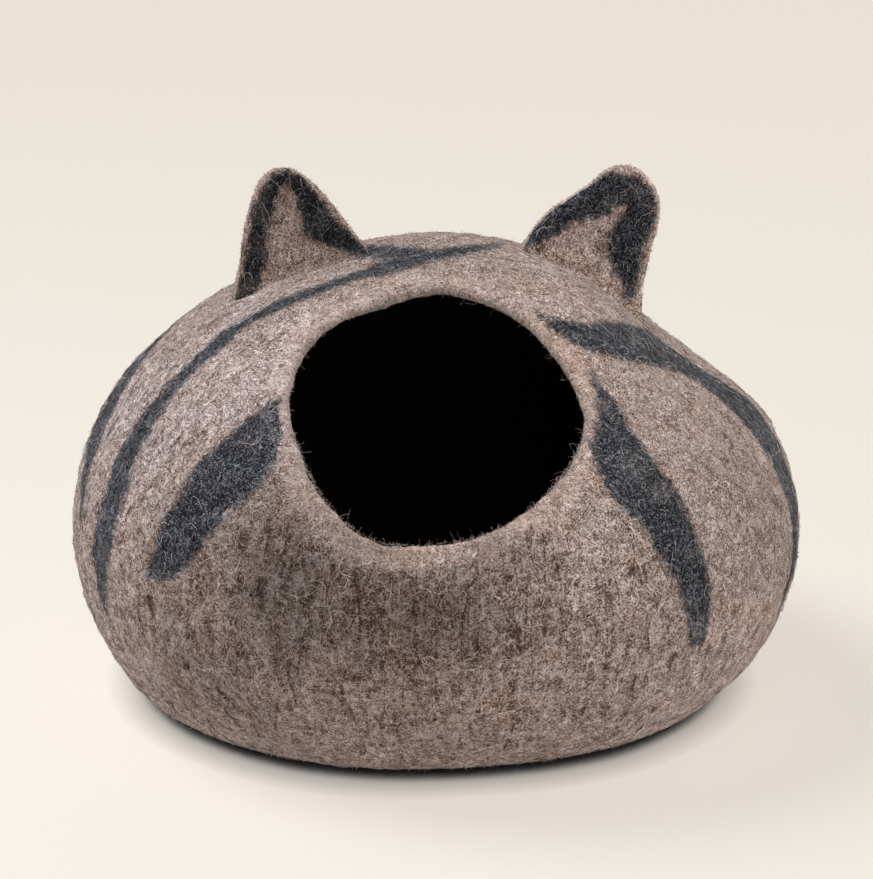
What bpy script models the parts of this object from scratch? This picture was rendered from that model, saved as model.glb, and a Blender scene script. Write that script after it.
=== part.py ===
# Felt cat cave: one hollow wet-felted wool shell with a slanted round opening, and two felt ears.
# Metres, +Z up. The opening faces -Y, +X is the right-hand side seen from the front, and the origin
# is the centre of the flat base, which lies on z = 0.
import math

import bmesh
import bpy
import numpy as np

MM = 0.001

# Outer skin: its distance from the body's centre (mm) on four sides, every 15 degrees of elevation.
CENTRE_HEIGHT = 0.120
ELEVATION_STEP = 15.0
BODY_RADII = (
    # elevation, front, right, back, left
    (-90, 146.0, 146.0, 146.0, 146.0),
    (-75, 156.5, 160.0, 158.5, 161.5),
    (-60, 169.0, 178.0, 174.0, 181.0),
    (-45, 183.0, 198.0, 191.5, 201.5),
    (-30, 200.0, 217.5, 209.5, 220.0),
    (-15, 213.0, 227.5, 220.0, 226.0),
    (0, 214.5, 226.0, 221.0, 224.0),
    (15, 204.0, 205.0, 210.0, 213.0),
    (30, 185.0, 178.5, 191.0, 195.0),
    (45, 173.5, 168.5, 177.5, 179.5),
    (60, 166.0, 165.5, 167.5, 168.0),
    (75, 161.0, 163.5, 162.5, 163.0),
    (90, 165.0, 165.0, 165.0, 165.0),
)

# Broad hand-shaped dents (below zero) and swells of the skin.
SWELLS = (
    # azimuth, elevation, spread (degrees), height (mm)
    (96, 27, 11, -3.2),
    (95, 13, 9, 5.5),
    (-20, -22, 22, 1.6),
    (28, -8, 16, -1.6),
    (-62, 40, 16, 1.4),
    (-70, 6, 14, -1.5),
    (150, 5, 25, 2.2),
    (205, 20, 22, -2.0),
    (180, 60, 20, -1.6),
    (120, -20, 20, -1.4),
    (235, -12, 22, 1.8),
    (10, 84, 14, 1.0),
)

# The base is pressed flat; its edge rounds up into the wall over this height.
BASE_ROUNDING = 0.012

# Opening: an uneven round hole about an axis that rises from the front.
OPENING_ELEVATION = 38.0
OPENING_MEAN_REACH = 29.0
# Reach of the opening's edge from that axis (degrees), from its left side past its lowest point.
OPENING_REACH = (28.1, 26.9, 27.1, 28.9, 27.6, 27.3, 27.1, 28.5,
                 31.4, 30.8, 31.1, 31.9, 33.6, 29.6, 31.1, 29.3)

WALL = 0.008           # felt thickness
LIP = 0.012            # thickness of the felt at the rounded edge of the opening
LIP_SPREAD = 0.08      # share of the way down over which the lip thins to the wall
LIP_STEPS = 6          # facets over that edge
EAR_GAP = 0.0003       # clearance between an ear's root and the shell

COLUMNS = 60           # facets around the shell
OUTER_RINGS = 34       # rings from the opening down to the base
INNER_RINGS = 22
BASE_RINGS = 2         # rings on the flat base
LEVEL_START = 0.65     # share of the way down where the rings have become level
BASE_START = 0.71      # share of the way down where the base begins
SHAPE_FADE = 0.35      # share of the way down over which the rings lose the opening's own outline
SAMPLE_ANGLE = 0.004   # radians either side of a point when the skin's slope is measured
SAMPLE_AHEAD = 0.01    # share of the way down when the slope beside the opening is measured

# Ears: each row is a level section of the flat felt; heights and edges in mm.
LEFT_EAR = (
    # height, outer edge, inner edge
    (232, -118, -30),
    (250, -120, -30),
    (262, -119.5, -32),
    (274, -117.5, -36),
    (286, -115.5, -44),
    (298, -112.5, -54.5),
    (310, -108.5, -65),
    (318, -104, -72.5),
    (324, -99, -80),
    (327.5, -94, -86),
)
RIGHT_EAR = (
    # height, outer edge, inner edge
    (222, 124, 52),
    (240, 126, 50),
    (254, 127, 50),
    (268, 130, 51),
    (281, 133, 56),
    (293, 135.5, 63),
    (304, 136, 75),
    (313, 134, 90),
    (320, 129, 101),
    (324.5, 122, 110),
)
EAR_TILT = 6.0             # degrees leaning back
EAR_THICKNESS = 0.009
EAR_CUP = 0.005            # how far the middle is pressed back from the side edges
EAR_CUP_TAPER = 1.5        # the cup starts to fade this much sooner than the tip
EAR_TIP_RISE = 0.001       # rounding above the last section
EAR_ROOT_SWELL = 0.007     # extra thickness where the felt is worked into the shell
EAR_ROOT_HEIGHT = 0.016    # height over which that swell fades
EAR_FACE_POINTS = 9        # points along each face of a section
EAR_EDGE_POINTS = 4        # points round each side edge of a section
EARS = {
    # front-to-back place of the root, its height, sections
    "ear_left": {"depth": -0.014, "root": 0.262, "rows": LEFT_EAR},
    "ear_right": {"depth": 0.005, "root": 0.256, "rows": RIGHT_EAR},
}

TAUPE = (0.235, 0.185, 0.160)
EAR_TAUPE = (0.190, 0.150, 0.130)
FELT_ROUGHNESS = 0.95


def catmull_rom(before, start, end, after, share):
    return 0.5 * (2 * start + (end - before) * share
                  + (2 * before - 5 * start + 4 * end - after) * share ** 2
                  + (3 * start - before - 3 * end + after) * share ** 3)


def read_open(table, place):
    # Smooth reading of evenly spaced rows, mirrored past both ends.
    last = len(table) - 1
    first = np.clip(np.floor(place).astype(int), 0, last - 1)

    def row(index):
        index = np.abs(index)
        return table[np.where(index > last, 2 * last - index, index)]

    share = (place - first)[..., None]
    return catmull_rom(row(first - 1), row(first), row(first + 1), row(first + 2), share)


def read_closed(table, place):
    # Smooth reading of values that go once around.
    count = len(table)
    first = np.floor(place).astype(int)

    def value(index):
        return table[index % count]

    share = place - first
    return catmull_rom(value(first - 1), value(first), value(first + 1), value(first + 2), share)


def soft_maximum(first, second, width):
    share = np.clip(0.5 + 0.5 * (first - second) / width, 0.0, 1.0)
    return first * share + second * (1 - share) + width * share * (1 - share)


def unit(vectors):
    return vectors / np.linalg.norm(vectors, axis=-1, keepdims=True)


def heading(azimuth, elevation):
    # Azimuth 0 is the front (-Y) and 90 is +X.
    azimuth = np.radians(azimuth)
    elevation = np.radians(elevation)
    return np.stack([np.cos(elevation) * np.sin(azimuth),
                     -np.cos(elevation) * np.cos(azimuth),
                     np.sin(elevation) + 0 * azimuth], axis=-1)


def outer_skin(directions):
    # Point of the outer skin in each unit direction from the body's centre.
    table = np.array(BODY_RADII)[:, 1:] * MM
    elevation = np.degrees(np.arcsin(np.clip(directions[..., 2], -1.0, 1.0)))
    azimuth = np.arctan2(directions[..., 0], -directions[..., 1])
    sides = read_open(table, (elevation + 90.0) / ELEVATION_STEP)
    front, right, back, left = np.moveaxis(sides, -1, 0)
    reach = ((front + right + back + left) / 4
             + (front - back) / 2 * np.cos(azimuth)
             + (right - left) / 2 * np.sin(azimuth)
             + (front - right + back - left) / 4 * np.cos(2 * azimuth))
    for swell_azimuth, swell_elevation, spread, height in SWELLS:
        towards = heading(np.float64(swell_azimuth), np.float64(swell_elevation))
        away = np.degrees(np.arccos(np.clip(directions @ towards, -1.0, 1.0)))
        reach = reach + height * MM * np.exp(-(away / spread) ** 2)
    points = directions * reach[..., None]
    points[..., 2] = soft_maximum(points[..., 2] + CENTRE_HEIGHT, 0 * reach, BASE_ROUNDING)
    return points


def skin_normals(directions):
    steep = np.abs(directions[..., 2:3]) > 0.9
    helper = np.where(steep, [1.0, 0.0, 0.0], [0.0, 0.0, 1.0])
    across = unit(np.cross(helper, directions))
    along = np.cross(directions, across)
    slopes = []
    for side in (across, along):
        step = SAMPLE_ANGLE * side
        slopes.append(outer_skin(unit(directions + step)) - outer_skin(unit(directions - step)))
    return unit(np.cross(slopes[0], slopes[1]))


def ring_directions(way_down, around):
    # Rings grow from the opening's edge (0) to the middle of the base (1) and level out on the way.
    levelled = np.minimum(way_down / LEVEL_START, 1.0)
    axis_elevation = np.radians(OPENING_ELEVATION + (90.0 - OPENING_ELEVATION) * levelled)
    clock = (around + math.pi) / (2 * math.pi) * len(OPENING_REACH)
    edge = read_closed(np.array(OPENING_REACH), clock)
    own_shape = np.clip(1 - way_down / SHAPE_FADE, 0.0, 1.0) ** 2
    reach = OPENING_MEAN_REACH + (edge - OPENING_MEAN_REACH) * own_shape
    reach = np.radians(reach + (180.0 - OPENING_MEAN_REACH) * way_down)
    flat = 0 * axis_elevation
    axis = np.stack([flat, -np.cos(axis_elevation), np.sin(axis_elevation)], axis=-1)
    rising = np.stack([flat, np.sin(axis_elevation), np.cos(axis_elevation)], axis=-1)
    sideways = np.array([1.0, 0.0, 0.0])
    spoke = np.cos(around)[..., None] * sideways + np.sin(around)[..., None] * rising
    return np.cos(reach)[..., None] * axis + np.sin(reach)[..., None] * spoke


def felt_rings(way_down, depth_share):
    # Rings of points at a share of the wall's thickness below the outer skin.
    around = np.linspace(-math.pi, math.pi, COLUMNS, endpoint=False)
    rows = np.asarray(way_down, dtype=float)[:, None] + 0 * around
    directions = ring_directions(rows, around + 0 * rows)
    thickness = WALL + (LIP - WALL) * np.exp(-(rows / LIP_SPREAD) ** 2)
    return outer_skin(directions) - skin_normals(directions) * (thickness * depth_share)[..., None]


def lip_rings():
    # Half-round edge of the opening, from the outer skin over to the inner one.
    around = np.linspace(-math.pi, math.pi, COLUMNS, endpoint=False)
    start = ring_directions(0 * around, around)
    ahead = ring_directions(0 * around + SAMPLE_AHEAD, around)
    normals = skin_normals(start)
    outward = unit(outer_skin(start) - outer_skin(ahead))
    middle = outer_skin(start) - normals * LIP / 2
    turns = np.linspace(0.0, math.pi, LIP_STEPS + 1)[1:-1]
    arc = [normals * math.cos(turn) + outward * math.sin(turn) for turn in turns]
    return [middle + offset * LIP / 2 for offset in arc]


def ring_rows(wall_rings):
    on_wall = np.linspace(0.0, BASE_START, wall_rings)
    on_base = np.linspace(BASE_START, 1.0, BASE_RINGS + 2)[1:-1]
    return np.concatenate([on_wall, on_base])


def add_rings(mesh, rings):
    return [[mesh.verts.new(point) for point in ring] for ring in rings]


def face_between(mesh, first, second):
    count = len(first)
    for index in range(count):
        after = (index + 1) % count
        mesh.faces.new((first[index], second[index], second[after], first[after]))


def close_ring(mesh, ring, point):
    tip = mesh.verts.new(point)
    for index, vertex in enumerate(ring):
        mesh.faces.new((vertex, tip, ring[(index + 1) % len(ring)]))


def finish_mesh(mesh, name, material, sharp_angle):
    bmesh.ops.recalc_face_normals(mesh, faces=mesh.faces)
    data = bpy.data.meshes.new(name)
    mesh.to_mesh(data)
    mesh.free()
    data.shade_smooth()
    data.set_sharp_from_angle(angle=math.radians(sharp_angle))
    made = bpy.data.objects.new(name, data)
    bpy.context.scene.collection.objects.link(made)
    if material:
        data.materials.append(material)
    return made


def felt_material(name, colour):
    material = bpy.data.materials.new(name)
    material.use_nodes = True
    shader = material.node_tree.nodes["Principled BSDF"]
    shader.inputs["Base Color"].default_value = (*colour, 1.0)
    shader.inputs["Roughness"].default_value = FELT_ROUGHNESS
    shader.inputs["Metallic"].default_value = 0.0
    material.diffuse_color = (*colour, 1.0)
    return material


def make_shell(material):
    outer_rows = ring_rows(OUTER_RINGS)
    inner_rows = ring_rows(INNER_RINGS)
    mesh = bmesh.new()
    outer = add_rings(mesh, felt_rings(outer_rows, 0.0))
    lip = add_rings(mesh, lip_rings())
    inner = add_rings(mesh, felt_rings(inner_rows, 1.0))
    chain = outer[::-1] + lip + inner
    for first, second in zip(chain, chain[1:]):
        face_between(mesh, first, second)
    close_ring(mesh, outer[-1], (0.0, 0.0, 0.0))
    close_ring(mesh, inner[-1], (0.0, 0.0, WALL))
    return finish_mesh(mesh, "shell", material, 60)


def make_envelope():
    # The shell's outer skin with its opening closed, a little larger: it trims the ears' roots.
    rings = felt_rings(ring_rows(OUTER_RINGS), -EAR_GAP / WALL)
    mesh = bmesh.new()
    outer = add_rings(mesh, rings)
    for first, second in zip(outer, outer[1:]):
        face_between(mesh, first, second)
    close_ring(mesh, outer[-1], (0.0, 0.0, -EAR_GAP))
    close_ring(mesh, outer[0], tuple(rings[0].mean(axis=0)))
    envelope = finish_mesh(mesh, "envelope", None, 60)
    envelope.hide_render = True
    envelope.display_type = "WIRE"
    return envelope


def flat_loop(half_width, thickness):
    # Outline of the felt cut across: two flat faces joined by half-round edges.
    end = min(thickness / 2, half_width)
    flat = half_width - end
    faces = np.linspace(flat, -flat, EAR_FACE_POINTS)
    turns = np.linspace(0.0, math.pi, EAR_EDGE_POINTS + 2)[1:-1]
    back = [(place, thickness / 2) for place in faces]
    outer = [(-flat - end * math.sin(turn), thickness / 2 * math.cos(turn)) for turn in turns]
    front = [(place, -thickness / 2) for place in faces[::-1]]
    inner = [(flat + end * math.sin(turn), -thickness / 2 * math.cos(turn)) for turn in turns]
    return np.array(back + outer + front + inner)


def ear_section(row, ear):
    height, outer_edge, inner_edge = (value * MM for value in row)
    middle = (outer_edge + inner_edge) / 2
    half = abs(outer_edge - inner_edge) / 2
    top = ear["rows"][-1][0] * MM
    above_root = max(height - ear["root"], 0.0)
    thickness = EAR_THICKNESS + EAR_ROOT_SWELL * math.exp(-(above_root / EAR_ROOT_HEIGHT) ** 2)
    cup = EAR_CUP * min(1.0, (top - height) / (top - ear["root"]) * EAR_CUP_TAPER)
    lean = math.tan(math.radians(EAR_TILT)) * (height - ear["root"])
    across, through = flat_loop(half, thickness).T
    depth = ear["depth"] + lean + cup * (1 - (across / half) ** 2) + through
    return np.stack([middle + across, depth, height + 0 * across], axis=-1)


def make_ear(name, ear, material, envelope):
    sections = [ear_section(row, ear) for row in ear["rows"]]
    mesh = bmesh.new()
    rings = add_rings(mesh, sections)
    for first, second in zip(rings, rings[1:]):
        face_between(mesh, first, second)
    close_ring(mesh, rings[0], tuple(sections[0].mean(axis=0)))
    tip = sections[-1].mean(axis=0) + np.array([0.0, 0.0, EAR_TIP_RISE])
    close_ring(mesh, rings[-1], tuple(tip))
    made = finish_mesh(mesh, name, material, 60)
    trim = made.modifiers.new("Trim root", "BOOLEAN")
    trim.operation = "DIFFERENCE"
    trim.object = envelope
    trim.solver = "EXACT"
    return made


def main():
    for item in list(bpy.data.objects):
        bpy.data.objects.remove(item, do_unlink=True)
    make_shell(felt_material("Taupe felt", TAUPE))
    envelope = make_envelope()
    ear_felt = felt_material("Ear felt", EAR_TAUPE)
    for name, ear in EARS.items():
        make_ear(name, ear, ear_felt, envelope)


main()
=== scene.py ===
# Felt cat cave: a hollow bowl of thick felted wool with a slanted opening, two felt ears, dark
# stripes felted into the skin, and loose wool fibres on it.
import math
from functools import reduce

import bpy
import numpy as np
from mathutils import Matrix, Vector, noise
from mathutils.bvhtree import BVHTree


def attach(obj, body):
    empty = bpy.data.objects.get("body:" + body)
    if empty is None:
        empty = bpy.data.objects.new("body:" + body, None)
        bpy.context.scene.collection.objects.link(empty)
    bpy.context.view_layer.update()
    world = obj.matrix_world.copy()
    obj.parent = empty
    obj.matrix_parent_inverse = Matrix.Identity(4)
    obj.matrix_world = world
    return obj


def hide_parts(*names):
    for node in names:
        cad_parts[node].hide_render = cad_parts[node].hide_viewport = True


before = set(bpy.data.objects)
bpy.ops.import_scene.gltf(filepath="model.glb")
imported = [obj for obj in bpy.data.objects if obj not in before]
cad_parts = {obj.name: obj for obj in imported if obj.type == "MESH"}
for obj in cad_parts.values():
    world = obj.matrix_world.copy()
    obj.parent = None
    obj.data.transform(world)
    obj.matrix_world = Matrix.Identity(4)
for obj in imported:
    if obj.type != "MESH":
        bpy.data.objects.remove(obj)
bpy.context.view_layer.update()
mm = 0.001
print("frame loaded")


def unit(vectors):
    return vectors / np.maximum(np.linalg.norm(vectors, axis=-1, keepdims=True), 1e-12)


def helperAxis(directions, steep):  # an axis well away from each direction
    upright = np.abs(directions[..., 2:3]) > steep
    return np.where(upright, [1.0, 0.0, 0.0], [0.0, 0.0, 1.0])


def smoothStep(low, high, value):
    share = np.clip((value - low) / (high - low), 0.0, 1.0)
    return share * share * (3 - 2 * share)


def softMaximum(first, second, width):
    share = np.clip(0.5 + 0.5 * (first - second) / width, 0.0, 1.0)
    return first * share + second * (1 - share) + width * share * (1 - share)


def readTable(table, place, ends="held"):  # smooth reading between a table's rows
    count = len(table)
    first = np.floor(place).astype(int)
    if ends != "joined":
        first = np.clip(first, 0, count - 2)

    def row(index):
        if ends == "joined":
            return table[index % count]
        if ends == "mirrored":
            index = count - 1 - np.abs(count - 1 - np.abs(index))
        return table[np.clip(index, 0, count - 1)]

    share = (place - first)[..., None]
    before, start, end, after = (row(first + step) for step in (-1, 0, 1, 2))
    return 0.5 * (2 * start + (end - before) * share
                  + (2 * before - 5 * start + 4 * end - after) * share ** 2
                  + (3 * start - before - 3 * end + after) * share ** 3)


def lumps(points, size, shift=0.0):  # soft noise between -1 and 1 with lumps of that size
    places = points.reshape(-1, 3) / size + shift
    made = np.array([noise.noise(Vector(place)) for place in places])
    return made.reshape(points.shape[:-1])


def makeMesh(name, points, corners):
    mesh = bpy.data.meshes.new(name)
    sides = corners.shape[1]
    mesh.vertices.add(len(points))
    mesh.vertices.foreach_set("co", points.astype(np.float32).ravel())
    mesh.loops.add(corners.size)
    mesh.loops.foreach_set("vertex_index", corners.astype(np.int32).ravel())
    mesh.polygons.add(len(corners))
    mesh.polygons.foreach_set("loop_start", np.arange(0, corners.size, sides, dtype=np.int32))
    mesh.update(calc_edges=True)
    mesh.shade_smooth()
    return mesh


def putPiece(name, mesh, material):
    piece = bpy.data.objects.new(name, mesh)
    bpy.context.scene.collection.objects.link(piece)
    mesh.materials.append(material)
    feltGroup.objects.link(piece)
    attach(piece, "root")
    return piece


def loopGrid(rings, columns):  # triangles between rings that go once around
    ring = np.arange(rings - 1)[:, None] * columns
    column = np.arange(columns)
    after = (column + 1) % columns
    near = [ring + column, ring + after, ring + columns + after]
    far = [ring + column, ring + columns + after, ring + columns + column]
    return np.concatenate([np.stack(corners, axis=-1).reshape(-1, 3) for corners in (near, far)])


def facingOf(points, triangles):
    corner = points[triangles]
    return np.cross(corner[:, 1] - corner[:, 0], corner[:, 2] - corner[:, 0])


def pointNormals(points, triangles):
    facing = facingOf(points, triangles)
    normals = np.zeros_like(points)
    for side in range(3):
        np.add.at(normals, triangles[:, side], facing)
    return unit(normals)


def lid(ring, columns, centre):  # triangles from a ring to one point
    first = np.arange(columns)
    return np.stack([(first + 1) % columns + ring * columns, first + ring * columns,
                     0 * first + centre], axis=-1)


def joinMeshes(parts):
    starts = np.cumsum([0] + [len(points) for points, _ in parts[:-1]])
    corners = [corners + start for (_, corners), start in zip(parts, starts)]
    return np.concatenate([points for points, _ in parts]), np.concatenate(corners)


def addAttribute(mesh, name, values):
    kind, field = ("FLOAT", "value") if values.ndim == 1 else ("FLOAT_VECTOR", "vector")
    made = mesh.attributes.new(name, kind, "POINT")
    made.data.foreach_set(field, values.astype(np.float32).ravel())


studio = {
    "aim": (0.00174, 0.0, 0.15583),
    "distance": 1.5,
    "elevation": 18.0,
    "lens": 99.0,
    "sensor": 36.0,
    "floorSize": 60.0,
    "floorColour": (0.845, 0.788, 0.697),
    "floorRoughness": 0.85,
    "worldColour": (1.0, 0.98, 0.96),
    "worldStrength": 0.14,
    # soft light on the felt: where it comes from, strength, spread in degrees, colour
    "feltLights": {
        "overheadSoftbox": ((-0.22, -0.02, 1.0), 2.6, 50.0, (1.0, 0.985, 0.965)),
        "leftSoftbox": ((-1.0, 0.0, 0.40), 1.05, 50.0, (0.93, 0.97, 1.06)),
        "rightSoftbox": ((1.0, -0.15, 0.38), 1.2, 50.0, (1.02, 1.0, 0.97)),
        "frontSoftbox": ((0.4, -1.0, 0.35), 0.25, 60.0, (1.0, 1.0, 1.0)),
    },
    # even light on the floor, and one that casts the felt's faint shadow
    "floorLights": {"evenSoftbox": ((0.0, -0.2, 1.0), 2.06, 30.0, (1.0, 0.99, 0.975))},
    "shadowLights": {"backSoftbox": ((-0.80, 0.26, 1.10), 0.80, 32.0, (1.0, 0.99, 0.975))},
    # painted contact shadow on the floor: the dark line under the felt, and the softer shade around
    # it: reach and rays
    "contactShadow": (0.012, 8),
    "contactShades": (0.13, 0.45),
    "shade": (0.021, 4),
    "shadeFade": 0.42,
    # a nearer lamp that makes the floor paler low on the left
    "nearLamp": {"place": (-1.1, -0.6, 1.5), "aim": (-0.45, 0.1, 0.0), "size": 1.0,
                 "energy": 9.0, "colour": (0.56, 0.68, 1.0)},
}


def makeCamera():
    data = bpy.data.cameras.new("camera")
    data.lens = studio["lens"]
    data.sensor_width = studio["sensor"]
    data.sensor_fit = "AUTO"
    data.clip_end = 200.0
    camera = bpy.data.objects.new("camera", data)
    rise = math.radians(studio["elevation"])
    back = Vector((0.0, -math.cos(rise), math.sin(rise)))
    camera.location = Vector(studio["aim"]) + back * studio["distance"]
    camera.rotation_euler = (math.radians(90.0) - rise, 0.0, 0.0)
    bpy.context.scene.collection.objects.link(camera)
    bpy.context.scene.camera = camera


feltGroup = bpy.data.collections.new("felt pieces")
floorGroup = bpy.data.collections.new("floor pieces")


def putLight(data, strength, colour, comesFrom, group, blockers=None):
    data.energy = strength
    data.color = colour
    light = bpy.data.objects.new(data.name, data)
    light.rotation_euler = Vector(comesFrom).to_track_quat("Z", "Y").to_euler()
    light.light_linking.receiver_collection = group
    if blockers:
        light.light_linking.blocker_collection = blockers
    bpy.context.scene.collection.objects.link(light)
    return light


def makeSoftboxes(lights, group, blockers=None):
    for name, (comesFrom, strength, spread, colour) in lights.items():
        data = bpy.data.lights.new(name, "SUN")
        data.angle = math.radians(spread)
        putLight(data, strength, colour, comesFrom, group, blockers)


def makeNearLamp(lamp):
    data = bpy.data.lights.new("nearLamp", "AREA")
    data.shape = "DISK"
    data.size = lamp["size"]
    comesFrom = Vector(lamp["place"]) - Vector(lamp["aim"])
    light = putLight(data, lamp["energy"], lamp["colour"], comesFrom, floorGroup, floorGroup)
    light.location = lamp["place"]


def makeStudio():
    makeSoftboxes(studio["feltLights"], feltGroup)
    makeSoftboxes(studio["floorLights"], floorGroup, floorGroup)
    makeSoftboxes(studio["shadowLights"], floorGroup)
    makeNearLamp(studio["nearLamp"])
    world = bpy.data.worlds.new("studio")
    world.use_nodes = True
    sky = world.node_tree.nodes["Background"]
    sky.inputs["Color"].default_value = (*studio["worldColour"], 1.0)
    sky.inputs["Strength"].default_value = studio["worldStrength"]
    bpy.context.scene.world = world
    bpy.context.scene.view_settings.view_transform = "Standard"


makeCamera()
makeStudio()
print("camera and light made")


shellShape = {
    "centreHeight": 0.120,
    "elevationStep": 15.0,
    # mm from the body's centre to the skin: front, right, back, left; from below to above
    "radii": (
        (146.0, 146.0, 146.0, 146.0), (156.5, 160.0, 158.5, 161.5), (169.0, 178.0, 174.0, 181.0),
        (183.0, 198.0, 191.5, 201.5), (200.0, 217.5, 209.5, 220.0), (213.0, 227.5, 220.0, 226.0),
        (214.5, 226.0, 221.0, 224.0), (204.0, 205.0, 210.0, 213.0), (185.0, 178.5, 191.0, 195.0),
        (173.5, 168.5, 177.5, 179.5), (166.0, 165.5, 167.5, 168.0), (161.0, 163.5, 162.5, 163.0),
        (165.0, 165.0, 165.0, 165.0)),
    # azimuth, elevation, spread in degrees, height in mm
    "swells": (
        (96, 27, 11, -3.2), (95, 13, 9, 5.5), (-20, -22, 22, 1.6), (28, -8, 16, -1.6),
        (-62, 40, 16, 1.4), (-70, 6, 14, -1.5), (150, 5, 25, 2.2), (205, 20, 22, -2.0),
        (180, 60, 20, -1.6), (120, -20, 20, -1.4), (235, -12, 22, 1.8), (10, 84, 14, 1.0)),
    "baseRounding": 0.012,
    "openingElevation": 38.0,
    "openingMeanReach": 29.0,
    "openingReach": (28.3, 26.5, 27.0, 28.5, 27.6, 27.3, 27.1, 28.5,
                     31.4, 30.9, 31.1, 31.9, 33.0, 30.2, 31.2, 30.0),
    "wall": 0.008,
    "lip": 0.012,
    "lipReach": 0.0048,
    "lipSpread": 0.08,
    "levelStart": 0.65,
    "shapeFade": 0.35,
    "slopeStep": 0.004,
    "edgeStep": 0.01,
    "columns": 480,
    "lipRings": 9,
    # rings on the wall, rings on the base, and how far down the last one lies
    "outerRings": (138, 12, 0.99),
    "innerRings": (23, 4, 0.97),
    "baseStart": 0.72,
    # where on the lip the colour turns to the inside's painted shade
    "insideShadeTurn": (0.62, 0.95),
    "shoulderDepth": 0.0032,
    "shoulderReach": 0.045,
    "lumpSizes": ((90.0, 1.3), (30.0, 0.9), (12.0, 0.8), (6.5, 0.42)),  # size and height in mm
    "lumpsFrom": (0.0, 0.02),
    "lumpsInside": 0.5,
    "grooveSize": (8.0, 8.0, 60.0),
    "grooveDepth": 1.4,
    "grooveWidth": 0.14,
    # where the grooves start and where they are full, in metres
    "grooveHeight": (0.185, 0.13),
    "grooveFront": (0.09, -0.06),
    "grooveRight": (0.20, 0.10),
    "grooveLeft": (-0.09, -0.17),
    "grooveBack": (0.12, 0.0),
    "grooveLeftShare": 0.7,
    # azimuth, elevation, spread in degrees, how much paler and warmer the wool is painted; the
    # spots hold the wool's own patches and also painted shade and highlight, such as a dent's shade
    # and a brighter lower lip
    "toneAndShadeSpots": (
        (-21, 4, 15, -0.33, 0.2), (4, 69, 16, -0.03, 0.35), (-10, -4, 30, -0.03, 0.2),
        (0, 12, 6, 0.34, 0.1), (38, 50, 18, 0.05, 0.1), (48, -12, 14, -0.03, 0.0),
        (-46, 0, 12, 0.05, 0.0), (0, 66, 16, -0.04, -0.4), (-30, 52, 14, 0.03, -0.5),
        (-36, 30, 12, 0.05, -0.3), (1, 5, 11.5, -0.36, 0.2), (-2, -22, 18, -0.05, 0.7),
        (-42, -14, 14, -0.18, 0.6), (-52, 34, 20, 0.12, -0.8), (-66, 20, 14, 0.04, -0.4),
        (28, 60, 22, 0.03, 0.35), (-22, 58, 14, -0.03, 0.4), (24, 2, 12, 0.06, 0.0),
        (56, -12, 16, 0.14, 0.1), (64, 6, 13, -0.10, 0.0), (-22, 2, 14, -0.05, 0.1),
        (-40, -14, 11, -0.05, 0.1), (-54, -9, 8, 0.05, 0.0), (-48, 12, 12, -0.06, 0.0),
        (-28, 14, 7, -0.13, 0.1), (-44, -3, 6, -0.11, 0.2), (12, 11, 6, -0.10, 0.0),
        (-28, -25, 8, -0.10, -0.2), (-2, -22, 6, -0.08, -0.2), (-76, 26, 11, 0.07, -0.3),
        (40, -5, 5, -0.07, 0.0), (-76, 48, 6, 0.07, -0.2), (150, 30, 30, 0.06, 0.2),
        (215, -5, 28, -0.12, 0.3), (-115, 35, 24, 0.06, -0.5), (100, -20, 20, -0.04, 0.2)),
    "rimWidth": (15.0, 5.0),
    "rimWobble": (8.0, 0.45),
    "wobbleFade": 0.6,
}
bodyCentre = np.array([0.0, 0.0, shellShape["centreHeight"]])
around = np.linspace(-math.pi, math.pi, shellShape["columns"], endpoint=False)
lumpShift = 7.3
grooveShift = 3.1
wobbleShift = 11.0


def heading(azimuth, elevation):  # azimuth 0 is the front and 90 the right-hand side
    azimuth = np.radians(azimuth)
    elevation = np.radians(elevation)
    return np.stack([np.cos(elevation) * np.sin(azimuth),
                     -np.cos(elevation) * np.cos(azimuth),
                     np.sin(elevation) + 0 * azimuth], axis=-1)


def spotShare(directions, azimuth, elevation, spread):  # 1 at a place, fading around it
    towards = heading(azimuth, elevation)
    away = np.degrees(np.arccos(np.clip(directions @ towards, -1.0, 1.0)))
    return np.exp(-(away / spread) ** 2)


def outerSkin(directions):
    table = np.array(shellShape["radii"]) * mm
    elevation = np.degrees(np.arcsin(np.clip(directions[..., 2], -1.0, 1.0)))
    azimuth = np.arctan2(directions[..., 0], -directions[..., 1])
    sides = readTable(table, (elevation + 90.0) / shellShape["elevationStep"], "mirrored")
    front, right, back, left = np.moveaxis(sides, -1, 0)
    reach = ((front + right + back + left) / 4
             + (front - back) / 2 * np.cos(azimuth)
             + (right - left) / 2 * np.sin(azimuth)
             + (front - right + back - left) / 4 * np.cos(2 * azimuth))
    for *place, height in shellShape["swells"]:
        reach = reach + height * mm * spotShare(directions, *place)
    points = directions * reach[..., None]
    height = points[..., 2] + shellShape["centreHeight"]
    points[..., 2] = softMaximum(height, 0 * reach, shellShape["baseRounding"])
    return points


def skinNormals(directions):
    across = unit(np.cross(helperAxis(directions, 0.9), directions))
    along = np.cross(directions, across)
    slopes = []
    for side in (across, along):
        step = shellShape["slopeStep"] * side
        slopes.append(outerSkin(unit(directions + step)) - outerSkin(unit(directions - step)))
    return unit(np.cross(slopes[0], slopes[1]))


def skinHeight(points):  # how far points stand off the outer skin, measured from the centre
    away = points - bodyCentre
    reach = np.linalg.norm(away, axis=-1)
    skin = outerSkin(away / reach[..., None]) - bodyCentre
    return reach - np.linalg.norm(skin, axis=-1)


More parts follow.
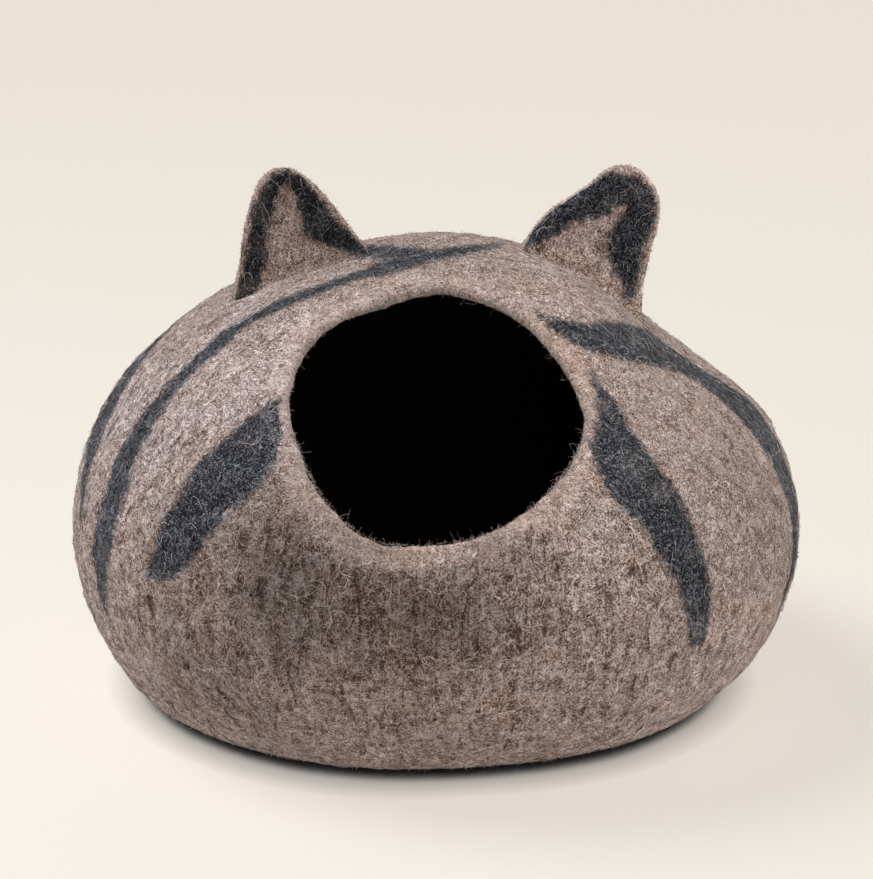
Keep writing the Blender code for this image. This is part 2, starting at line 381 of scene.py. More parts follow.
def ringDirections(wayDown, clock):  # from the opening's edge, 0, to the middle of the base, 1
    make = shellShape
    levelled = np.minimum(wayDown / make["levelStart"], 1.0)
    start = make["openingElevation"]
    axisRise = np.radians(start + (90.0 - start) * levelled)
    place = (clock + math.pi) / (2 * math.pi) * len(make["openingReach"])
    edge = readTable(np.array(make["openingReach"])[:, None], place, "joined")[..., 0]
    ownShape = np.clip(1 - wayDown / make["shapeFade"], 0.0, 1.0) ** 2
    mean = make["openingMeanReach"]
    reach = np.radians(mean + (edge - mean) * ownShape + (180.0 - mean) * wayDown)
    flat = 0 * axisRise
    axis = np.stack([flat, -np.cos(axisRise), np.sin(axisRise)], axis=-1)
    rising = np.stack([flat, np.sin(axisRise), np.cos(axisRise)], axis=-1)
    sideways = np.array([1.0, 0.0, 0.0])
    spoke = np.cos(clock)[..., None] * sideways + np.sin(clock)[..., None] * rising
    return np.cos(reach)[..., None] * axis + np.sin(reach)[..., None] * spoke


def ringRows(wallRings, baseRings, end):
    start = shellShape["baseStart"]
    base = np.linspace(start, end, baseRings + 1)[1:]
    return np.concatenate([np.linspace(0.0, start, wallRings), base])


def feltRings(wayDown, depthShare):
    make = shellShape
    rows = wayDown[:, None] + 0 * around
    directions = ringDirections(rows, around)
    nearLip = np.exp(-(rows / make["lipSpread"]) ** 2)
    thickness = make["wall"] + (make["lip"] - make["wall"]) * nearLip
    near = np.clip(1 - rows / make["shoulderReach"], 0.0, 1.0)
    sunk = thickness * depthShare + make["shoulderDepth"] * near ** 2 * (1 - depthShare)
    return outerSkin(directions) - skinNormals(directions) * sunk[..., None]


def openingEdge(clock):  # places on the edge, their normals, and the way into the opening
    start = ringDirections(0 * clock, clock)
    ahead = ringDirections(0 * clock + shellShape["edgeStep"], clock)
    places = outerSkin(start)
    return places, skinNormals(start), unit(places - outerSkin(ahead))


def lipRings():  # half-round edge of the opening, from the outer skin to the inner one
    make = shellShape
    places, normals, inward = openingEdge(around)
    half = (make["lip"] - make["shoulderDepth"]) / 2
    middle = places - normals * (make["lip"] - half)
    turns = np.linspace(0.0, math.pi, make["lipRings"] + 2)[1:-1]
    arc = [normals * math.cos(turn) * half + inward * math.sin(turn) * make["lipReach"]
           for turn in turns]
    return np.array([middle + offset for offset in arc])


# stripes felted into the shell: azimuth and elevation in degrees, half width in mm
stripes = {
    "leftPatch": (
        (-34.6, 33.5, 2.5), (-34.4, 29.2, 8.0), (-34.3, 24.0, 17.0), (-35.7, 19.6, 21.0),
        (-38.2, 16.2, 19.0), (-40.1, 12.5, 17.0), (-41.7, 8.8, 15.8), (-43.4, 5.6, 14.0),
        (-45.4, 3.2, 9.5), (-46.9, 1.4, 4.5)),
    "rightPatch": (
        (42.6, 39.2, 2.4), (41.9, 35.0, 4.8), (40.6, 30.4, 8.0), (38.3, 26.2, 12.6),
        (36.6, 22.2, 19.0), (36.7, 18.4, 21.2), (39.1, 14.0, 18.2), (40.2, 9.0, 16.4),
        (41.3, 4.4, 13.0), (42.3, 0.3, 11.4), (42.8, -3.9, 9.4), (43.1, -7.7, 6.4),
        (43.1, -9.3, 1.5)),
    "rightShoulder": (
        (40.6, 55.8, 3.0), (43.4, 51.3, 6.2), (48.2, 48.1, 9.2), (54.8, 44.8, 12.6),
        (62.8, 43.0, 16.5), (72.8, 38.9, 17.5), (81.4, 33.2, 18.5), (85.6, 26.9, 20.5),
        (85.6, 20.5, 22.5), (83.4, 14.0, 22.5), (80.9, 8.0, 20.0), (78.6, 2.5, 17.0),
        (75.8, -3.0, 13.0), (72.8, -7.5, 8.5), (70.6, -12.0, 2.0)),
    "longLeft": (
        (100.4, 74.8, 2.0), (64.5, 79.3, 3.4), (27.0, 80.6, 5.2), (-18.0, 78.2, 7.5),
        (-38.6, 73.2, 8.6), (-46.9, 68.6, 6.2), (-51.6, 62.5, 5.4), (-55.0, 57.0, 5.4),
        (-58.3, 51.0, 7.2), (-61.4, 44.6, 5.8), (-61.4, 39.2, 8.6), (-61.9, 34.2, 7.2),
        (-62.5, 29.0, 7.0), (-62.6, 24.0, 8.8), (-62.0, 18.6, 10.6), (-61.9, 12.8, 12.8),
        (-61.4, 7.8, 13.6), (-61.8, 2.2, 13.4), (-62.1, -2.0, 11.0), (-61.7, -6.0, 6.4),
        (-61.2, -12.0, 1.5)),
    "leftEarLink": (
        (-90.0, 75.0, 5.0), (-76.0, 76.4, 8.0), (-52.0, 78.5, 8.0), (-26.0, 80.4, 6.0),
        (4.0, 81.4, 3.0)),
    "farLeft": (
        (-96.0, 31.0, 6.0), (-92.0, 26.5, 14.0), (-87.2, 21.0, 18.5), (-83.2, 16.5, 18.0),
        (-80.0, 12.0, 14.0), (-77.8, 8.0, 9.5), (-76.0, 4.0, 5.0), (-74.8, 1.0, 1.5)),
}
stripeStep = 0.0015
farOutside = -60.0


def coverBand(reach, points, middles, halves):  # raises reach to the mm inside a band's edge
    for middle, half in zip(middles, halves):
        away = np.linalg.norm(points - middle, axis=-1) / mm
        np.maximum(reach, half - away, out=reach)


def stripeReach(points):  # mm inside the nearest stripe's edge; below 0 outside
    reach = np.full(points.shape[:-1], farOutside)
    for rows in stripes.values():
        table = np.array(rows, float)
        towards = heading(table[:, 0], table[:, 1])
        rough = outerSkin(towards)
        length = np.linalg.norm(np.diff(rough, axis=0), axis=1).sum()
        place = np.linspace(0.0, len(rows) - 1, max(int(length / stripeStep), 8))
        along = outerSkin(unit(readTable(towards, place)))
        coverBand(reach, points, along, readTable(table[:, 2:3], place)[:, 0])
    return reach


# ways in which the wool runs: straight down the body, and slanting to either side
slants = {"grain": 0.0, "grainLeft": 1.3, "grainRight": -1.3}
grainRadius = 0.21
grainRounding = 0.75


def grainOf(points, slant=0.0):  # places around and down the body: noise there follows the wool
    direction = unit(points - bodyCentre)
    fall = np.arccos(np.clip(direction[..., 2], -1.0, 1.0))
    azimuth = np.arctan2(direction[..., 0], -direction[..., 1]) + slant * fall
    spread = grainRadius * np.tanh(np.sin(fall) / grainRounding)
    return np.stack([np.cos(azimuth) * spread, np.sin(azimuth) * spread, fall * grainRadius],
                    axis=-1)


def flatGrain(points, slant=0.0):  # the same on a flat piece
    return points * [1.0, 1.0, 0.0] + points[:, 2:3] * [slant, 0.0, 1.0]


def toneAndShadeOf(points):  # how much paler and warmer the wool is at each point: its own tone together with painted shade and highlight
    directions = unit(points - bodyCentre)
    tone = np.zeros((2, len(points)))
    for *place, paler, warmer in shellShape["toneAndShadeSpots"]:
        tone += np.array([[paler], [warmer]]) * spotShare(directions, *place)
    return tone


def groovesOn(points):  # where the grooves show: low on the front and on the left
    make = shellShape
    across, forth, height = points.T
    front = smoothStep(*make["grooveHeight"], height) * smoothStep(*make["grooveFront"], forth)
    front = front * smoothStep(*make["grooveRight"], across)
    left = smoothStep(*make["grooveLeft"], across) * smoothStep(*make["grooveBack"], forth)
    return np.maximum(front, left * make["grooveLeftShare"])


def liftSurface(points, triangles, make, weight):
    normals = pointNormals(points, triangles)
    rise = np.zeros(len(points))
    for number, (size, height) in enumerate(make["lumpSizes"]):
        rise += lumps(points, size * mm, lumpShift * number) * height * mm
    rise *= weight
    if "grooveDepth" in make:
        groove = lumps(grainOf(points) / mm, np.array(make["grooveSize"]), grooveShift)
        ridge = smoothStep(make["grooveWidth"], 0.0, np.abs(groove))
        rise -= ridge * make["grooveDepth"] * mm * groovesOn(points) * weight
    return points + normals * rise[:, None]


def buildShell():
    make = shellShape
    outer = feltRings(ringRows(*make["outerRings"]), 0.0)
    inner = feltRings(ringRows(*make["innerRings"]), 1.0)
    rings = np.concatenate([outer[::-1], lipRings(), inner])
    turned = np.linspace(0.0, 1.0, make["lipRings"] + 2)[1:-1]
    # the inside and the lip's underside turn near-black: dark wool and painted shade of the hollow
    insideShade = np.concatenate([np.zeros(len(outer)), smoothStep(*make["insideShadeTurn"], turned),
                               np.ones(len(inner))])
    columns = make["columns"]
    points = np.concatenate([rings.reshape(-1, 3), [[0.0, 0.0, 0.0], [0.0, 0.0, make["wall"]]]])
    inside = np.append(np.repeat(insideShade, columns), [0.0, 1.0])
    rim = smoothStep(*make["rimWidth"], np.linalg.norm(rings - outer[0], axis=-1) / mm)
    rim[len(outer):] = 1.0
    rim = np.append(rim, [0.0, 0.0])
    under = lid(0, columns, len(points) - 2)
    floor = lid(len(rings) - 1, columns, len(points) - 1)[:, [1, 0, 2]]
    triangles = np.concatenate([loopGrid(len(rings), columns), under, floor])
    weight = smoothStep(*make["lumpsFrom"], points[:, 2]) * (1 - make["lumpsInside"] * inside)
    lifted = liftSurface(points, triangles, make, weight)
    wobbleSize, wobbleHeight = make["rimWobble"]
    wobble = lumps(points, wobbleSize * mm, wobbleShift) * wobbleHeight * mm
    wobble *= rim * (1 - make["wobbleFade"] * inside)
    lifted += pointNormals(points, triangles) * wobble[:, None]
    lifted[:, 2] = np.maximum(lifted[:, 2], 0.0)
    tone, warmth = toneAndShadeOf(points)
    fields = {name: grainOf(points, slant) for name, slant in slants.items()}
    fields.update({"inside": inside, "rim": rim, "tone": tone, "warmth": warmth, "shadedBand": 0 * tone,
                   "stripeReach": stripeReach(points), "grooves": groovesOn(points)})
    return {"points": lifted, "triangles": triangles, "fields": fields}


# sizes of both ears, in metres unless a note says otherwise
earShape = {
    "thickness": 0.009,
    "cup": 0.005,
    "cupTaper": 1.5,
    "tilt": 6.0,
    "flare": 0.0050,
    "flareHeight": 0.007,
    "edgeFlare": 0.35,
    # the ears' root crease is painted shade: darker and warmer where each ear meets the shell
    "creaseHeight": 0.0035,
    "creaseShade": 0.15,
    "buried": 0.0035,
    "deepest": -0.004,
    "rootDrop": 0.002,
    # how far up its root is looked for, and in how many steps
    "rootReach": 0.9,
    "rootSteps": 200,
    "facePoints": 62,
    "edgePoints": 18,
    "rows": 120,
    "rowEase": 0.06,
    "bandSteps": 160,
    # mm by which the band shrinks towards the back, and the shell's stripes off its skin
    "bandFade": 16.0,
    "bandEdge": 0.75,
    "stripeFade": 1.5,
    "lumpsFrom": (-0.002, 0.010),
    "lumpsLeast": 0.2,
    "lumpSizes": ((26.0, 0.9), (10.0, 0.5)),  # size and height in mm
}
# each ear's top, rows and band in mm, the rest in metres
ears = {
    "earLeftFelt": {
        "node": "ear_left", "depth": -0.014, "root": 0.262, "top": (328.5, -90.0),
        # bandShade: painted shade that darkens this ear's dark band
        "paler": 0.03, "warmer": 0.1, "bandShade": 0.6,
        "flat": (0.090, 0.097), "flatArea": 0.0060,
        # height, outer edge, inner edge
        "rows": ((232, -118, -30), (250, -119.5, -30), (262, -118.2, -32), (274, -115.8, -36.5),
                 (286, -114.3, -45), (298, -112.3, -53.4), (310, -108.9, -63.2),
                 (318, -105.4, -70.6), (324, -101.4, -77.8), (327.5, -96, -84)),
        # dark wool on the front face: across, height, half width
        "band": (
            (-115.6, 250.5, 2.2), (-112.9, 256.0, 5.2), (-109.6, 264.0, 6.3), (-107.2, 272.0, 6.6),
            (-105.5, 281.6, 6.1), (-104.5, 294.7, 5.7), (-101.5, 303.0, 5.9), (-98.0, 312.3, 5.3),
            (-93.0, 320.0, 5.2), (-87.8, 323.0, 5.0), (-81.0, 319.5, 6.0), (-75.2, 312.0, 6.6),
            (-71.3, 302.2, 8.6), (-68.9, 296.0, 9.7), (-64.2, 290.8, 9.0), (-55.6, 286.6, 6.6),
            (-46.8, 284.0, 6.2), (-38.8, 281.0, 5.4)),
    },
    "earRightFelt": {
        "node": "ear_right", "depth": 0.005, "root": 0.256, "top": (325.5, 116.0),
        "paler": 0.27, "warmer": 0.1, "bandShade": 0.0,
        "flat": (0.087, 0.104), "flatArea": 0.0068,
        "rows": ((222, 124, 52), (240, 126.5, 50), (254, 128, 50), (268, 131, 51),
                 (281, 133.8, 57), (293, 136.2, 65.5), (304, 136.6, 78.5), (313, 133.6, 92),
                 (320, 128, 99.5), (324.5, 121, 108)),
        "band": (
            (50.0, 278.2, 4.8), (58.2, 282.8, 5.6), (67.0, 289.4, 7.8), (76.4, 295.6, 8.8),
            (83.0, 299.5, 9.5), (92.0, 304.0, 10.6), (100.2, 307.6, 11.4), (106.6, 311.0, 11.0),
            (116.6, 311.5, 10.5), (123.3, 306.0, 9.8), (124.0, 296.0, 9.5), (120.6, 287.3, 10.6),
            (116.4, 279.2, 12.0), (117.0, 271.2, 10.2), (117.4, 263.8, 7.8), (119.0, 257.6, 5.4),
            (118.6, 248.5, 3.4)),
    },
}


def earLoop():  # across, edge and through share of each point round a section
    faces = np.linspace(1.0, -1.0, earShape["facePoints"])
    turns = np.linspace(0.0, math.pi, earShape["edgePoints"] + 2)[1:-1]
    none = 0 * faces
    side = 0 * turns
    across = np.concatenate([faces, side - 1, faces[::-1], side + 1])
    edge = np.concatenate([none, -np.sin(turns), none, np.sin(turns)])
    through = np.concatenate([none + 1, np.cos(turns), none - 1, -np.cos(turns)])
    return across, edge, through


def earPoints(ear, place, loop, flared):
    make = earShape
    across, edge, through = loop
    topHeight, topMiddle = ear["top"]
    table = np.array(ear["rows"], float)
    table = np.concatenate([table, [[topHeight, topMiddle, topMiddle], table[-1, [0, 2, 1]]]])
    height, outerEdge, innerEdge = np.moveaxis(readTable(table, place) * mm, -1, 0)
    top = topHeight * mm
    middle = (outerEdge + innerEdge) / 2
    half = np.abs(outerEdge - innerEdge) / 2
    nearTip = np.clip(1 - (top - height) / (make["thickness"] / 2), 0.0, 1.0)
    thickness = make["thickness"] * np.sqrt(np.maximum(1 - nearTip ** 2, 0.0))
    end = np.minimum(thickness / 2, half)
    offset = across * (half - end) + edge * end
    share = offset / np.maximum(half, 1e-6)
    cup = make["cup"] * np.minimum(1.0, (top - height) / (top - ear["root"]) * make["cupTaper"])
    lean = math.tan(math.radians(make["tilt"])) * (height - ear["root"])
    bend = ear["depth"] + lean + cup * (1 - np.clip(share, -1, 1) ** 2)

    def placed(extra):
        return np.stack([middle + offset + edge * extra * make["edgeFlare"],
                         bend + through * (thickness / 2 + extra),
                         height + 0 * offset], axis=-1)

    made = placed(0.0)
    if flared:
        above = np.maximum(skinHeight(made), make["deepest"])
        made = placed(make["flare"] * np.exp(-(above / make["flareHeight"])))
    return made


def bandReach(face, band):
    place = np.linspace(0.0, len(band) - 1, earShape["bandSteps"])
    line = readTable(np.array(band, float), place)
    reach = np.full(len(face), farOutside)
    coverBand(reach, face, line[:, :2] * mm, line[:, 2])
    return reach


def buildEar(ear):
    make = earShape
    loop = earLoop()
    count = len(loop[0])
    last = len(ear["rows"])
    probe = np.linspace(0.0, last * make["rootReach"], make["rootSteps"])[:, None] + np.zeros(count)
    buried = skinHeight(earPoints(ear, probe, loop, False)) < -make["buried"]
    crossing = len(probe) - 1 - np.argmax(buried[::-1], axis=0)
    root = probe[crossing, np.arange(count)]
    share = np.linspace(0.0, 1.0, make["rows"])
    share = share + make["rowEase"] * np.sin(2 * math.pi * share) / (2 * math.pi)
    place = root + (last - root) * share[:, None]
    rings = earPoints(ear, place, loop, True)
    base = rings[0].mean(axis=0) - [0.0, 0.0, make["rootDrop"]]
    points = np.concatenate([rings.reshape(-1, 3), [base]])
    triangles = np.concatenate([loopGrid(len(rings), count), lid(0, count, len(points) - 1)])
    through = np.append(np.tile(loop[2], make["rows"]), 0.0)
    reach = bandReach(points[:, [0, 2]], ear["band"])
    reach = reach - make["bandFade"] * np.clip(through + make["bandEdge"], 0.0, 1.0)
    above = skinHeight(points)
    offSkin = np.maximum(above, 0.0) / mm
    reach = np.maximum(reach, stripeReach(points) - make["stripeFade"] * offSkin)
    least = make["lumpsLeast"]
    weight = smoothStep(*make["lumpsFrom"], above) * (1 - least) + least
    lifted = liftSurface(points, triangles, make, weight)
    # painted shade: a darker, warmer crease along the ear's root
    creaseAndShade = np.exp(-((above - make["creaseHeight"]) / make["creaseHeight"]) ** 2)
    plain = np.zeros(len(points))
    fields = {name: flatGrain(points, slant) for name, slant in slants.items()}
    fields.update({"inside": plain, "rim": plain, "warmth": ear["warmer"] + creaseAndShade,
                   "tone": ear["paler"] - creaseAndShade * make["creaseShade"],
                   "shadedBand": plain + ear["bandShade"], "stripeReach": reach, "grooves": plain})
    return {"points": lifted, "triangles": triangles, "fields": fields}


class Wire:  # a node's output that takes part in Python sums
    def __init__(self, finish, socket):
        self.finish = finish
        self.socket = socket

    def sum(self, operation, first, second=None):
        places = {0: first} if second is None else {0: first, 1: second}
        return self.finish.node("ShaderNodeMath", {"operation": operation}, places)

    def __add__(self, other):
        return self.sum("ADD", self, other)

    def __radd__(self, other):
        return self.sum("ADD", other, self)

    def __sub__(self, other):
        return self.sum("SUBTRACT", self, other)

    def __rsub__(self, other):
        return self.sum("SUBTRACT", other, self)

    def __mul__(self, other):
        return self.sum("MULTIPLY", self, other)

    def __rmul__(self, other):
        return self.sum("MULTIPLY", other, self)

    def __pow__(self, other):
        return self.sum("POWER", self, other)

    def __abs__(self):
        return self.sum("ABSOLUTE", self)


class Finish:  # one material and the nodes in it
    def __init__(self, name):
        self.material = bpy.data.materials.new(name)
        self.material.use_nodes = True
        self.tree = self.material.node_tree
        self.shader = self.tree.nodes["Principled BSDF"]

    def node(self, kind, settings=None, sockets=None, output=0):
        made = self.tree.nodes.new(kind)
        for name, value in (settings or {}).items():
            setattr(made, name, value)
        self.fill(made, sockets or {})
        return Wire(self, made.outputs[output])

    def fill(self, node, sockets):
        for name, value in sockets.items():
            if isinstance(value, Wire):
                self.tree.links.new(value.socket, node.inputs[name])
            else:
                node.inputs[name].default_value = value

    def clamp(self, value, low, high):  # 0 at low and 1 at high, easing between
        settings = {"interpolation_type": "SMOOTHSTEP"}
        return self.node("ShaderNodeMapRange", settings, {0: value, 1: low, 2: high})

    def blend(self, share, first, second):
        settings = {"data_type": "RGBA"}
        return self.node("ShaderNodeMix", settings, {0: share, 6: first, 7: second}, 2)

    def vector(self, operation, sockets):
        return self.node("ShaderNodeVectorMath", {"operation": operation}, sockets)

    def tint(self, colour, amount):  # a colour times a value
        return self.vector("SCALE", {0: colour, "Scale": amount})

    def stretched(self, place, scale):
        return self.vector("MULTIPLY", {0: place, 1: scale})

    def curled(self, place, noiseColour, amount):  # moves a place by a noise's colour
        return self.vector("ADD", {0: place, 1: self.tint(noiseColour, amount)})

    def attribute(self, name, output=2):
        return self.node("ShaderNodeAttribute", {"attribute_name": name}, {}, output)

    def grains(self, place, size, detail=2.0, roughness=0.5):
        sockets = {"Vector": place, "Scale": 1 / (size * mm), "Detail": detail,
                   "Roughness": roughness}
        return self.node("ShaderNodeTexNoise", {}, sockets)

    def weighed(self, values, shares, start=0.0):  # start plus each value times its share
        return sum((values[name] * share for name, share in shares.items()), start)

    def largest(self, values):
        return reduce(lambda most, value: value.sum("MAXIMUM", most, value), values)


def floorFinish():  # pale floor with a painted contact shadow: darker where something stands close above it
    floor = Finish("pale floor")
    near, wide = [floor.node("ShaderNodeAmbientOcclusion", {"samples": rays, "only_local": False},
                             {"Distance": reach}, 1)
                  for reach, rays in (studio["contactShadow"], studio["shade"])]
    # painted shadow: the floor's colour goes dark where the felt stands close above it
    free = floor.clamp(near, *studio["contactShades"]) * wide ** studio["shadeFade"]
    pale = (*studio["floorColour"], 1.0)
    colour = floor.blend(free, (0.0, 0.0, 0.0, 1.0), pale)
    floor.fill(floor.shader, {"Base Color": colour, "Roughness": studio["floorRoughness"],
                              "Specular IOR Level": 0.1})
    return floor.material


def makeFloor():
    half = studio["floorSize"] / 2
    points = np.array([(-half, -half, 0), (half, -half, 0), (half, half, 0), (-half, half, 0)])
    mesh = makeMesh("floor", points, np.array([[0, 1, 2, 3]]))
    mesh.materials.append(floorFinish())
    floor = bpy.data.objects.new("floor", mesh)
    bpy.context.scene.collection.objects.link(floor)
    floorGroup.objects.link(floor)


makeFloor()

feltLook = {
    "paleWool": (0.705, 0.617, 0.595, 1.0),
    "midWool": (0.36, 0.272, 0.236, 1.0),
    "darkWool": (0.092, 0.052, 0.036, 1.0),
    "coolTint": (0.97, 0.99, 1.055),
    "warmTint": (1.055, 0.975, 0.90),
    "charcoalPale": (0.23, 0.245, 0.285, 1.0),
    "charcoalDark": (0.006, 0.0065, 0.009, 1.0),
    # near-black inside: dark wool and the painted shade of the hollow
    "insideShadeWool": (0.040, 0.029, 0.022, 1.0),
    "roughness": 0.92,
    "sheen": 0.11,
    "bumpDistance": 0.0022,
    "bumpStrength": 0.9,
    "curlScale": 190.0,
    "fibres": [(size, 0.0, 0.5, None, 0.0012) for size in (3.3, 4.4, 6.2)],
    "fibreWidth": 0.030,
    "fibreShown": (0.47, 0.56),
    # marks: size in mm, detail, roughness, how they are drawn out, how far bent
    "stroke": (0.72, 1.0, 0.5, (1.0, 1.0, 0.20), 0.0035),
    "marks": {
        "level": (0.792, 1.0, 0.5, (0.25, 0.25, 1.0), 0.0035),
        "speck": (0.95, 1.0, 0.5, None, 0.0), "hue": (26.0, 1.0, 0.5, None, 0.0),
        "patch": (12.0, 2.0, 0.55, None, 0.0), "cloud": (42.0, 2.0, 0.5, None, 0.0),
        "lines": (6.5, 0.0, 0.5, (1.0, 1.0, 0.13), 0.0),
        "creases": (5.5, 1.0, 0.5, (1.0, 1.0, 0.32), 0.0),
        "pits": (3.6, 1.0, 0.5, (1.0, 1.0, 0.55), 0.0),
        "relief": (8.5, 2.0, 0.5, (1.0, 1.0, 0.7), 0.0),
        "ripple": (3.4, 1.0, 0.5, (0.5, 0.5, 1.0), 0.004),
        "knots": (4.6, 1.0, 0.5, (0.8, 0.8, 1.0), 0.003),
    },
    "middles": {"mat": 0.62, "speck": 0.5, "pits": 0.5, "ripple": 0.5, "patch": 0.5,
                "cloud": 0.5, "hue": 0.5, "lines": 0.5},
    "grooveLine": (0.035, 0.0),
    "creaseLine": (0.63, 0.73),
    # share of each mark in the wool's tone: fine ones, those that rough places deepen, broad ones;
    # the groove and crease shares paint shade into the grooves and creases
    "toneStart": 0.41,
    "fineTone": {"mat": 2.65, "speck": 2.9, "fibre": 0.88, "lowFibre": 0.35},
    "roughTone": {"pits": 1.0, "ripple": 0.8},
    "broadTone": {"patch": 0.8, "cloud": 0.4, "rim": 0.06, "groove": -0.35, "creaseAndShade": -0.55},
    "darkTones": (-0.2, 0.5),
    "paleTones": (0.4, 1.15),
    "rimCalm": 0.35,
    "rimPaler": 0.14,
    "toneGain": 1.5,
    "hueShare": 1.6,
    "warmthShare": 0.6,
    "thinFrom": (1.0, 1.35),
    "thinShare": 0.14,
    "greyStart": 0.07,
    "greyTone": {"mat": 2.8, "speck": 2.8, "patch": 0.7, "ripple": 0.6, "fibre": 0.55},
    "stripeEdge": {"stripe": 1.0, "stroke": 9.0, "pits": 9.0, "speck": 6.0, "patch": 8.0},
    "stripeFeather": (-2.2, 2.4),
    "lift": {"speck": 0.12, "mat": 0.18, "fibre": 0.2, "pits": 0.4, "creaseAndShade": -1.1},
    "roughLift": {"ripple": 0.6, "knots": 1.0, "relief": 1.7},
}


def feltFinish(name):
    look = feltLook
    felt = Finish(name)
    place = felt.node("ShaderNodeTexCoord", {}, {}, 3)
    curl = felt.node("ShaderNodeTexNoise", {},
                     {"Vector": place, "Scale": look["curlScale"], "Detail": 1.0}, 1)
    down = felt.attribute("grain", 1)

    def mark(start, size, detail, roughness, drawn, bend):
        if bend:
            start = felt.curled(start, curl, bend)
        if drawn:
            start = felt.stretched(start, drawn)
        return felt.grains(start, size, detail, roughness)

    marks = {name: mark(down if values[3] else place, *values)
             for name, values in look["marks"].items()}
    strokes = [mark(felt.attribute(way, 1), *look["stroke"]) for way in slants]
    marks["mat"] = felt.largest([*strokes, marks["level"]])
    even = {name: marks[name] - middle for name, middle in look["middles"].items()}
    low = felt.attribute("grooves")
    rim = felt.attribute("rim")
    waves = [mark(place, *values) for values in look["fibres"]]
    arcs = [felt.clamp(abs(wave - 0.5), look["fibreWidth"], 0.0) for wave in waves]
    fibre = felt.largest([arc * felt.clamp(waves[turn - 1], *look["fibreShown"])
                          for turn, arc in enumerate(arcs)])
    # painted shade: the wool darkens along the groove lines and in the creases; the creases are
    # also bumped
    groove = felt.clamp(abs(even["lines"]), *look["grooveLine"]) * low
    creaseAndShade = felt.clamp(marks["creases"], *look["creaseLine"]) * (0.45 + low * 0.45)
    rough = 0.6 + low * 0.6
    others = {"fibre": fibre, "lowFibre": fibre * low, "groove": groove, "creaseAndShade": creaseAndShade,
              "rim": rim, "stripe": felt.attribute("stripeReach"), "stroke": strokes[0] - 0.5}
    marks.update(others)
    even.update(others)
    fine = felt.weighed(even, look["fineTone"]) + felt.weighed(even, look["roughTone"]) * rough
    fine = fine * (1.0 - rim * look["rimCalm"])
    tone = felt.weighed(even, look["broadTone"], look["toneStart"] + fine)
    wool = felt.blend(felt.clamp(tone, *look["darkTones"]), look["darkWool"], look["midWool"])
    wool = felt.blend(felt.clamp(tone, *look["paleTones"]), wool, look["paleWool"])
    # the tone attribute brings the wool's own tone with painted shade and highlight: the spots on
    # the shell, the root crease on the ears
    paler = felt.attribute("tone") + rim * look["rimPaler"]
    wool = felt.tint(wool, 1.0 + paler * look["toneGain"])
    warmth = even["hue"] * look["hueShare"] + felt.attribute("warmth") * look["warmthShare"]
    wool = felt.blend(felt.clamp(warmth, -0.8, 0.8), felt.stretched(wool, look["coolTint"]),
                      felt.stretched(wool, look["warmTint"]))
    thin = felt.clamp(marks["patch"] + marks["cloud"], *look["thinFrom"]) * look["thinShare"]
    edge = felt.weighed(even, look["stripeEdge"])
    covered = felt.clamp(edge, *look["stripeFeather"]) * (1.0 - thin)
    grey = felt.clamp(felt.weighed(even, look["greyTone"], look["greyStart"]), -0.1, 1.0)
    charcoal = felt.blend(grey, look["charcoalDark"], look["charcoalPale"])
    # painted shade: an ear's dark band darkened by its bandShade share
    charcoal = felt.tint(charcoal, 1.0 - felt.attribute("shadedBand"))
    colour = felt.blend(covered, wool, charcoal)
    # painted shade: the inside takes the near-black colour
    colour = felt.blend(felt.attribute("inside"), colour, look["insideShadeWool"])
    height = felt.weighed(marks, look["lift"]) + felt.weighed(marks, look["roughLift"]) * rough
    bump = felt.node("ShaderNodeBump", {}, {"Height": height, "Strength": look["bumpStrength"],
                                            "Distance": look["bumpDistance"]})
    felt.fill(felt.shader, {"Base Color": colour, "Roughness": look["roughness"],
                            "Normal": bump, "Sheen Weight": look["sheen"],
                            "Sheen Roughness": 0.5, "Specular IOR Level": 0.12})
    return felt.material


def hairFinish(name, colour):
    hair = Finish(name)
    hair.fill(hair.shader, {"Base Color": (*colour, 1.0), "Roughness": 0.8,
                            "Specular IOR Level": 0.2})
    return hair.material


shell = buildShell()
print("shell built", len(shell["triangles"]))
earSkins = {name: buildEar(ear) for name, ear in ears.items()}
print("ears built")


def putFelt(name, skin, material, node):
    mesh = makeMesh(name, skin["points"], skin["triangles"])
    for field, values in skin["fields"].items():
        addAttribute(mesh, field, values)
    piece = putPiece(name, mesh, material)
    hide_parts(node)


putFelt("shellFelt", shell, feltFinish("taupe felt"), "shell")
earMaterial = feltFinish("ear felt")
for name, ear in ears.items():
    putFelt(name, earSkins[name], earMaterial, ear["node"])
print("felt placed")


